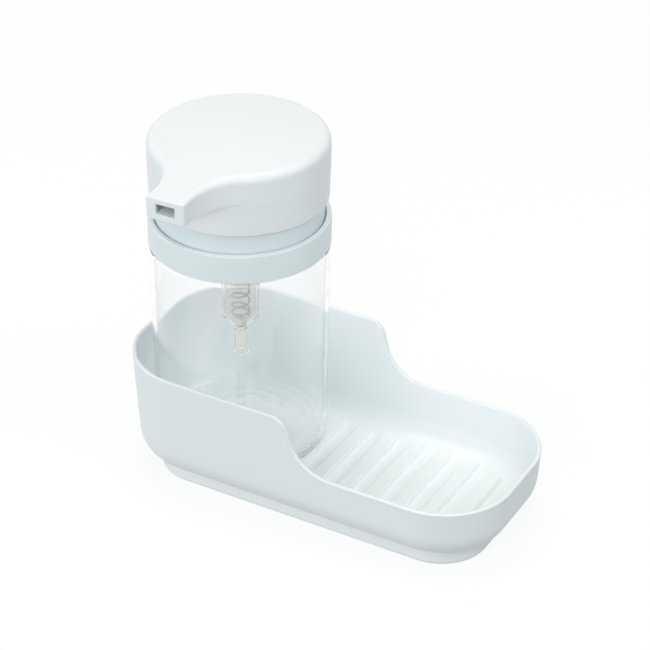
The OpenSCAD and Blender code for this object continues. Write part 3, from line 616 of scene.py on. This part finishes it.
def domeHeight(x, y):
    # the top is round near its crest, which lies crestBack behind the axis, and then falls evenly down to the
    # tip: with r the distance from the crest and rise(r) = sqrt(r squared + crest squared) - crest, the
    # height is top - drop * rise(r) / rise(at the tip)
    s = head
    tipRise = math.hypot(s["reach"] + s["crestBack"], s["crest"]) - s["crest"]
    rise = np.sqrt(x ** 2 + (y - s["crestBack"]) ** 2 + s["crest"] ** 2) - s["crest"]
    return s["top"] - s["drop"] * rise / tipRise


def headOutline():
    # one half of the outline in plan: half the tip face, tip corner, straight side, blend arc and drum. For
    # each point also its outward direction, the length run since the tip corner, and where its column comes
    # down on the drum's circle, as an angle
    s = head
    half, reach, corner, blend = s["tipWidth"] / 2, s["reach"], s["tipCorner"], s["blend"]
    blendX = half + blend
    blendY = math.sqrt((s["radius"] + blend) ** 2 - blendX ** 2)
    blendAngle = math.atan2(blendY, blendX)
    holeX = s["outletWidth"] / 2 + s["chamfer"]
    cornerCount, sideCount, arcCount, drumCount = s["columns"]
    face = np.array([0, holeX / 2, holeX, (holeX + half - corner) / 2, half - corner])
    turn = np.radians(np.linspace(-90, 0, cornerCount))[1:]
    side = np.linspace(-(reach - corner), -blendY, sideCount)[1:]
    arc = np.linspace(0, blendAngle, arcCount)[1:]
    drum = np.linspace(-blendAngle, math.pi / 2, drumCount)[1:]
    x = np.concatenate([face, half - corner + corner * np.cos(turn), np.full(len(side), half),
                        blendX - blend * np.cos(arc), s["radius"] * np.cos(drum)])
    y = np.concatenate([np.full(len(face), -reach), corner - reach + corner * np.sin(turn), side,
                        -blendY + blend * np.sin(arc), s["radius"] * np.sin(drum)])
    nx = np.concatenate([0 * face, np.cos(turn), 1 + 0 * side, np.cos(arc), np.cos(drum)])
    ny = np.concatenate([-1 + 0 * face, np.sin(turn), 0 * side, -np.sin(arc), np.sin(drum)])
    toDrum = reach - blendY + blend * blendAngle
    run = np.concatenate([0 * face, 0 * turn, side + reach, reach - blendY + blend * arc, np.full(len(drum), toDrum)])
    x[-1] = 0
    path = np.concatenate([[0], np.cumsum(np.hypot(np.diff(x), np.diff(y)))])
    firstDrum = len(x) - len(drum) - 1
    angle = -math.pi / 2 + (math.pi / 2 - blendAngle) * path / path[firstDrum]
    angle[firstDrum:] = np.concatenate([[-blendAngle], drum])
    return face, x, y, nx, ny, run, angle


def makeHead():
    # One closed skin. Columns follow the outline, then its mirror image. Rows run from the hollow's roof down
    # inside, over the open rim, up the drum, out under the spout, up its side and over the soft edge. Rungs
    # from side to side close the top.
    s = head
    face, x, y, nx, ny, run, angle = headOutline()
    soft = s["tipEdge"] + (s["shoulder"] - s["tipEdge"]) * (run / run[-1]) ** s["edgePower"]
    roofZ = domeHeight(x - nx * soft, y - ny * soft)
    spoutFoot = s["top"] - s["drop"] - s["tipHeight"]
    outletZ = s["top"] - s["drop"] - s["tipHeight"] / 2
    cx, cy = np.cos(angle), np.sin(angle)
    cx[-1] = 0
    rows = []

    def circleRow(radius, height):
        rows.append(np.stack([radius * cx, radius * cy, height + 0 * cx], axis=1))

    def underDome(radius):
        # level all round, below the lowest side of the dome at this radius
        return domeHeight(0, -radius) - s["roof"]

    # hollow: socket with rows close to its corners, roof, soft shoulder, inner wall, open rim
    hollow, curve = s["radius"] - s["roof"], s["shoulder"] - s["roof"]
    socket, socketFoot, edge = s["socket"], s["socketFoot"], s["socketEdge"]
    hub = socket + s["socketWall"]
    roof = underDome(hub)
    curveX = hollow - curve
    curveZ = underDome(curveX) - curve
    for radius, height in ((socket - 3, roof), (socket, roof - 0.02), (socket, roof - s["guard"]),
                           (socket, socketFoot), (socket + edge, socketFoot), (hub - edge, socketFoot),
                           (hub, socketFoot + edge), (hub, roof - 0.5), (hub + 0.5, roof)):
        circleRow(radius, height)
    for radius in np.linspace(hub + 6, curveX - 0.4, s["roofRows"]):
        circleRow(radius, underDome(radius))
    for a in np.radians(np.linspace(86, 0, s["hollowRows"])):
        circleRow(curveX + curve * math.cos(a), curveZ + curve * math.sin(a))
    innerFoot = s["footRadius"] - s["wall"]
    q = s["rimRound"]
    rimTop = s["foot"] + q + s["guard"]
    circleRow(innerFoot + 0.02, s["foot"] + 6)
    circleRow(innerFoot, rimTop)
    for a in np.radians(np.linspace(180, 270, s["rimRows"])):
        circleRow(innerFoot + q + q * math.cos(a), s["foot"] + q + q * math.sin(a))
    for a in np.radians(np.linspace(270, 360, s["rimRows"])):
        circleRow(s["footRadius"] - q + q * math.cos(a), s["foot"] + q + q * math.sin(a))
    slope = (s["radius"] - s["footRadius"]) / (spoutFoot - s["foot"])
    for height in np.linspace(rimTop, spoutFoot - s["drumStop"], s["drumRows"]):
        circleRow(s["footRadius"] + (height - s["foot"]) * slope, height)

    # under the spout: root fillet, flat underside, lower edge; on the drum the same rows climb the wall. Near
    # the drum, where reach is short, fillet and lower edge shrink to a share of it
    drumX, drumY = s["radius"] * cx, s["radius"] * cy
    reachX, reachY = x - drumX, y - drumY
    reach = np.hypot(reachX, reachY)
    away = np.where(reach > 1e-6, reach, 1)
    dirX, dirY = reachX / away, reachY / away
    fillet = np.minimum(s["rootFillet"], 0.45 * reach)
    lowEdge = np.minimum(s["lowEdge"], 0.3 * reach)
    under = [(fillet * (1 - math.cos(a)), spoutFoot - fillet * (1 - math.sin(a)))
             for a in np.radians(np.linspace(0, 90, s["filletRows"]))]
    under += [(fillet + (reach - lowEdge - fillet) * share, spoutFoot) for share in s["underShares"]]
    under += [(reach - lowEdge * (1 - math.sin(a)), spoutFoot + lowEdge * (1 - math.cos(a)))
              for a in np.radians(np.linspace(0, 90, s["edgeRows"]))]
    onSpout = np.clip(reach / s["fade"], 0, 1)
    onSpout = onSpout ** 2 * (3 - 2 * onSpout)
    climb = spoutFoot - s["climbStart"] + s["climbRun"] * np.arange(len(under)) / (len(under) - 1)
    for (offset, height), wallZ in zip(under, climb):
        z = wallZ * (1 - onSpout) + height * onSpout
        rows.append(np.stack([drumX + dirX * offset, drumY + dirY * offset, z], axis=1))

    # side, with rows level with the outlet at the tip, then the soft edge
    sideTop = roofZ - soft
    low = spoutFoot + s["lowEdge"] + 0.05
    holeX, holeZ = s["outletWidth"] / 2 + s["chamfer"], s["outletHeight"] / 2 + s["chamfer"]
    holeShares = (outletZ + np.array([-holeZ, 0, holeZ]) - low) / (sideTop[0] - low)
    bottomRow = len(rows) + 1
    for share in (s["sideFoot"], *holeShares, s["sideTop"]):
        rows.append(np.stack([x, y, low + (sideTop - low) * share], axis=1))
    for a in np.radians(np.linspace(0, 90, s["shoulderRows"])):
        inset = soft * (1 - math.cos(a))
        rows.append(np.stack([x - nx * inset, y - ny * inset, roofZ - soft * (1 - math.sin(a))], axis=1))
    right = np.array(rows)
    left = right[:, -2:0:-1] * [-1, 1, 1]
    skin = np.concatenate([right, left], axis=1)
    cols = skin.shape[1]
    quads = gridFaces(len(skin), cols)
    r, col = np.divmod(np.arange(len(quads)), cols)
    hole = np.isin(r, [bottomRow, bottomRow + 1]) & np.isin(col, [0, 1, cols - 1, cols - 2])

    # rungs over the top, bent by the dome
    shares = np.concatenate([-face[:0:-1], face]) / face[-1]
    rim = right[-1, len(face) - 1:]
    rungX, rungY = rim[:, :1] * shares, rim[:, 1:2] + 0 * shares[None]
    bend = domeHeight(rungX, rungY) - domeHeight(rim[:, :1], rim[:, 1:2])
    rungs = np.stack([rungX, rungY, rim[:, 2:] + bend], axis=-1)

    # outlet: chamfer, then a blind passage
    aroundRow = bottomRow + np.array([0, 0, 0, 0, 0, 1, 2, 2, 2, 2, 2, 1])
    aroundCol = np.array([-2, -1, 0, 1, 2, 2, 2, 1, 0, -1, -2, -2])
    mouth = skin[aroundRow, aroundCol]
    centre = np.array([0, 0, outletZ])
    shrink = np.array([(holeX - s["chamfer"]) / holeX, 1, (holeZ - s["chamfer"]) / holeZ])
    lip = (mouth - centre) * shrink + centre + [0, s["chamfer"], 0]
    deep = lip + [0, s["outletDepth"], 0]
    passage = np.stack([mouth, lip, lip + [0, s["guard"], 0], deep])
    pole = np.vstack([[[0, 0, roof]], skin[0]])

    turn = math.radians(s["heading"])
    spin = np.array([[math.cos(turn), -math.sin(turn), 0], [math.sin(turn), math.cos(turn), 0], [0, 0, 1]])
    shift = np.array([*axis, 0])
    parts = [
        (skin, quads[~hole]),
        (rungs, gridFaces(*rungs.shape[:2], closedCols=False)),
        (passage, gridFaces(*passage.shape[:2])),
        (deep, [np.arange(len(deep))]),
        (pole, fanFaces(cols, 0, 1)),
    ]
    parts = [(points.reshape(-1, 3) @ spin.T + shift, faces) for points, faces in parts]
    return makePiece("headShell", parts, sharp=40)


headShell = makeHead()
dress(headShell, headAbs, "head", "head_shell", "head_shell")
print("pump head made,", len(headShell.data.polygons), "faces")


spring = {
    "coil": 4.2, "wire": 0.5, "turns": 9, "endPitch": 1.6, "stepsInTurn": 28, "sides": 12,
    "seat": 79.0, "ceiling": 120.2, "air": 0.05,
}
spring["foot"] = spring["seat"] + spring["wire"] + spring["air"]
spring["top"] = spring["ceiling"] - spring["wire"] - spring["air"]


def makeSpring():
    # round wire carried along a helix: close first and last curls, even ones between; square cut ends
    s = spring
    turns = np.linspace(0, s["turns"], s["turns"] * s["stepsInTurn"] + 1)
    pitch = (s["top"] - s["foot"] - 2 * s["endPitch"]) / (s["turns"] - 2)
    evenRise = s["endPitch"] + pitch * (turns - 1)
    lastRise = s["top"] - s["foot"] - s["endPitch"] * (s["turns"] - turns)
    rise = np.where(turns < 1, s["endPitch"] * turns, np.where(turns < s["turns"] - 1, evenRise, lastRise))
    a = 2 * math.pi * turns[:, None]
    w = np.linspace(0, 2 * math.pi, s["sides"], endpoint=False)[None, :]
    radius = s["coil"] + s["wire"] * np.cos(w)
    points = np.stack([axis[0] + radius * np.cos(a), axis[1] + radius * np.sin(a),
                       s["foot"] + rise[:, None] + s["wire"] * np.sin(w) + 0 * a], axis=-1)
    end = [np.arange(s["sides"])]
    parts = [(points, gridFaces(*points.shape[:2])), (points[0], end), (points[-1], end)]
    return makePiece("returnCoil", parts, sharp=60)


returnCoil = makeSpring()
dress(returnCoil, springSteel, "pump_core", "return_spring", "return_spring")
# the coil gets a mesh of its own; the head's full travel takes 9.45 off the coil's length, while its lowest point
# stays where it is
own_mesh(returnCoil)
print("spring made")

finishes = {
    "pump_housing": housingPolypropylene, "housing_nut": housingPolypropylene, "dip_tube": dipPolyethylene,
    "neck_gasket": sealRubber, "housing_gasket": sealRubber, "stem_seal": sealRubber, "piston_seal": sealRubber,
    "guide_cap": guideAcetal, "stem": guideAcetal, "actuator": guideAcetal,
    "inlet_ball": ballSteel, "outlet_ball": ballSteel,
}
for node, material in finishes.items():
    redress(node, material)
for piece in [bottleShell] + [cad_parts[node] for node in ("pump_housing", "housing_nut", "dip_tube")]:
    letLightThrough(piece)


studio = {
    "floorGlow": 0.86, "floorDiffuse": 0.16, "floorColour": "#A0A2A2", "floorHalf": 6.0,
    "sky": 0.28, "skyColour": "#D7FCFC",
    "aim": (-0.02, 0.0, 0.08), "size": 1.1,
    "lamps": {
        # name: place in metres, power in watts, colour
        "topBox": ((-0.27, 0.32, 1.6), 9.8, "#FFF0E8"),
        "leftBox": ((-1.5, -0.9, 0.5), 9.6, "#F1F6FC"),
        "frontBox": ((0.75, -1.2, 1.3), 6.6, "#F4FCFE"),
        "lowBox": ((0.1, -1.6, 0.3), 9.3, "#FFF6F7"),
        "rightBox": ((1.1, 0.1, 1.1), 6.4, "#FFF8FC"),
    },
}


def whereSeen(tree):
    # 1 for rays that show the background: camera, mirror-like and see-through ones
    path = addNode(tree, "ShaderNodeLightPath")
    first = addNode(tree, "ShaderNodeMath", {"operation": "MAXIMUM"},
                    {0: path.outputs["Is Camera Ray"], 1: path.outputs["Is Glossy Ray"]})
    both = addNode(tree, "ShaderNodeMath", {"operation": "MAXIMUM"},
                   {0: first.outputs[0], 1: path.outputs["Is Transmission Ray"]})
    return both.outputs[0]


def makeFloor():
    # paper that lights the object as the grey it is, and shows as white paper with the object's shadow
    side = studio["floorHalf"]
    mesh = bpy.data.meshes.new("studioFloor")
    mesh.from_pydata([(-side, -side, 0), (side, -side, 0), (side, side, 0), (-side, side, 0)], [], [(0, 1, 2, 3)])
    floor = bpy.data.objects.new("studioFloor", mesh)
    bpy.context.scene.collection.objects.link(floor)
    material = bpy.data.materials.new("studioPaper")
    material.use_nodes = True
    tree = material.node_tree
    tree.nodes.clear()
    paper = addNode(tree, "ShaderNodeBsdfDiffuse", {"Color": linear(studio["floorColour"])})
    faint = addNode(tree, "ShaderNodeBsdfDiffuse", {"Color": (studio["floorDiffuse"],) * 3 + (1,)})
    glow = addNode(tree, "ShaderNodeEmission", {"Color": (1, 1, 1, 1), "Strength": studio["floorGlow"]})
    shown = addNode(tree, "ShaderNodeAddShader", None, {0: faint.outputs[0], 1: glow.outputs[0]})
    mix = addNode(tree, "ShaderNodeMixShader", None, {0: whereSeen(tree), 1: paper.outputs[0], 2: shown.outputs[0]})
    addNode(tree, "ShaderNodeOutputMaterial", None, {"Surface": mix.outputs[0]})
    mesh.materials.append(material)


def makeSky():
    # a faint cool sky for the object's light, and plain white where the background shows
    world = bpy.data.worlds.new("studioSky")
    bpy.context.scene.world = world
    world.use_nodes = True
    tree = world.node_tree
    tree.nodes.clear()
    light = addNode(tree, "ShaderNodeBackground", {"Color": linear(studio["skyColour"]), "Strength": studio["sky"]})
    seen = addNode(tree, "ShaderNodeBackground", {"Color": (1, 1, 1, 1), "Strength": 1.0})
    mix = addNode(tree, "ShaderNodeMixShader", None, {0: whereSeen(tree), 1: light.outputs[0], 2: seen.outputs[0]})
    addNode(tree, "ShaderNodeOutputWorld", None, {"Surface": mix.outputs[0]})


def makeLamps():
    # square soft boxes, each turned towards the middle of the object
    aim, size = studio["aim"], studio["size"]
    for name, (place, power, colour) in studio["lamps"].items():
        data = bpy.data.lights.new(name, "AREA")
        data.shape, data.size, data.energy, data.color = "SQUARE", size, power, linear(colour)[:3]
        lamp = bpy.data.objects.new(name, data)
        lamp.location = place
        lamp.rotation_euler = (Vector(aim) - Vector(place)).to_track_quat("-Z", "Y").to_euler()
        bpy.context.scene.collection.objects.link(lamp)


view = {
    # place and aim in millimetres from the foot of the bottle's axis, roll in degrees, farClip in metres
    "place": (483.01, -791.06, 645.63), "aim": (28.13, 32.51, 63.9), "roll": 0.663,
    "lens": 125.71, "sensor": 36, "farClip": 20,
}


def makeCamera():
    # solved on the photograph's outlines, with the bottle's axis as origin
    shift = Vector((*axis, 0))
    place, aim = (Vector(view["place"]) + shift) * mm, (Vector(view["aim"]) + shift) * mm
    forward = (aim - place).normalized()
    right = forward.cross(Vector((0, 0, 1))).normalized()
    up = right.cross(forward)
    roll = math.radians(view["roll"])
    rolledRight = right * math.cos(roll) + up * math.sin(roll)
    rolledUp = up * math.cos(roll) - right * math.sin(roll)
    data = bpy.data.cameras.new("photoCamera")
    data.lens, data.sensor_width, data.clip_end = view["lens"], view["sensor"], view["farClip"]
    camera = bpy.data.objects.new("photoCamera", data)
    turn = Matrix((rolledRight, rolledUp, -forward)).transposed().to_4x4()
    camera.matrix_world = Matrix.Translation(place) @ turn
    bpy.context.scene.collection.objects.link(camera)
    bpy.context.scene.camera = camera


makeFloor()
makeSky()
makeLamps()
makeCamera()
bpy.context.scene.view_settings.view_transform = "Standard"
print("studio made")
